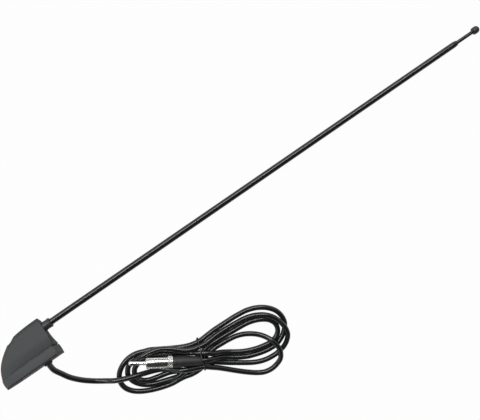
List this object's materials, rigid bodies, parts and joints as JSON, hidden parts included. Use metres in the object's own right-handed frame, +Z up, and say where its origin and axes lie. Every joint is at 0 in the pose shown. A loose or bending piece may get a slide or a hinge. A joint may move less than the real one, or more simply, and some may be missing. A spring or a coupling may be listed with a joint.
{
  "type": "telescopic car radio antenna",
  "caption": "Telescopic rod antenna on a fin-shaped black plastic housing with a flat foot, a coiled coaxial lead and a bright radio plug.",
  "frame": {"origin": "middle of the mounting face, on the underside of the housing's gasket", "axes": "+X along the mast towards its tip, +Z up from the table that the loose antenna lies on, and the mounting face looks to -Y, tilted up by the roll at which the housing rests"},
  "size_m": [0.4338, 0.1347, 0.0193],
  "materials": {
    "housing_plastic": "fine matt grain",
    "gasket_rubber": "soft, matt",
    "earth_steel": "zinc plated",
    "cable_jacket": "smooth, half gloss",
    "cable_core": "natural",
    "copper_wire": "bare copper",
    "socket_brass": "turned",
    "black_steel": "black, half gloss",
    "black_plastic": "moulded",
    "tie_wire": "coated wire",
    "nickel": "bright nickel",
    "insulator": "natural"
  },
  "bodies": {
    "housing": {"foot": "housing_plastic", "cover": "housing_plastic", "gasket": "gasket_rubber", "earth_plate": "earth_steel", "cable_grommet": "gasket_rubber", "coax_inside": "cable_jacket", "coax_core": "cable_core", "core_lead": "copper_wire", "mast_socket": "socket_brass", "clamp_screw": "earth_steel", "mast_collar": "black_plastic", "outer_tube": "black_steel", "tube_plug": "socket_brass", "coax_lead": "cable_jacket", "coax_hank": "cable_jacket", "cable_tie": "tie_wire", "plug_shell": "nickel", "plug_ring": "nickel", "plug_insulator": "insulator", "plug_pin": "nickel", "plug_boot": "cable_jacket"},
    "middle_section": {"middle_tube": "black_steel", "middle_guide": "socket_brass"},
    "rod_section": {"inner_rod": "black_steel", "rod_guide": "socket_brass", "tip_button": "black_plastic"}
  },
  "joints": [
    {"name": "middle_slide", "type": "slide", "parent": "housing", "child": "middle_section", "axis": [1, 0, 0], "range_m": [0, 0.34]},
    {"name": "rod_slide", "type": "slide", "parent": "middle_section", "child": "rod_section", "axis": [1, 0, 0], "range_m": [-0.0156, 0.335]}
  ]
}
